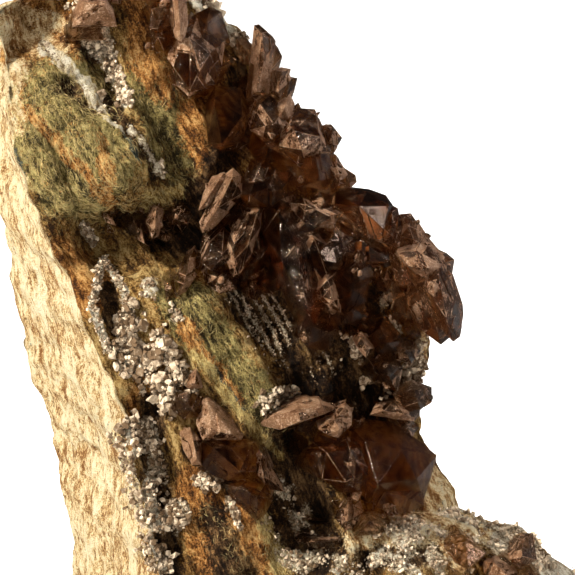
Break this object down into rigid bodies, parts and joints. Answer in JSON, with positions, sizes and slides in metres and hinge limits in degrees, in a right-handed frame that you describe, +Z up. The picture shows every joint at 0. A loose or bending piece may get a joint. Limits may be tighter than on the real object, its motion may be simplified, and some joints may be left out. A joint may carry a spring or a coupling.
{
  "type": "axinite specimen",
  "caption": "Clove-brown, wedge-shaped axinite crystals in overlapping clusters on the edge of a leaning slab of green and ochre schist with a flat foot.",
  "frame": {"origin": "on the flat foot, at the middle of the picture's view across", "axes": "+X to the right across the crystal face, +Y away from the viewer, +Z up"},
  "size_m": [0.0801, 0.0411, 0.0892],
  "materials": {
    "schist": "rough layered schist, green, ochre and cream, with white grains",
    "axinite": "glassy clove-brown crystal, part see-through"
  },
  "bodies": {
    "root": {"matrix": "schist", "axinite_top": "axinite", "axinite_crest": "axinite", "axinite_left_wing": "axinite", "axinite_main": "axinite", "axinite_right_low": "axinite", "axinite_lower": "axinite", "axinite_lower_left": "axinite", "axinite_foot": "axinite", "axinite_foot_tip": "axinite", "axinite_back_upper": "axinite", "axinite_back_lower": "axinite"}
  },
  "joints": []
}
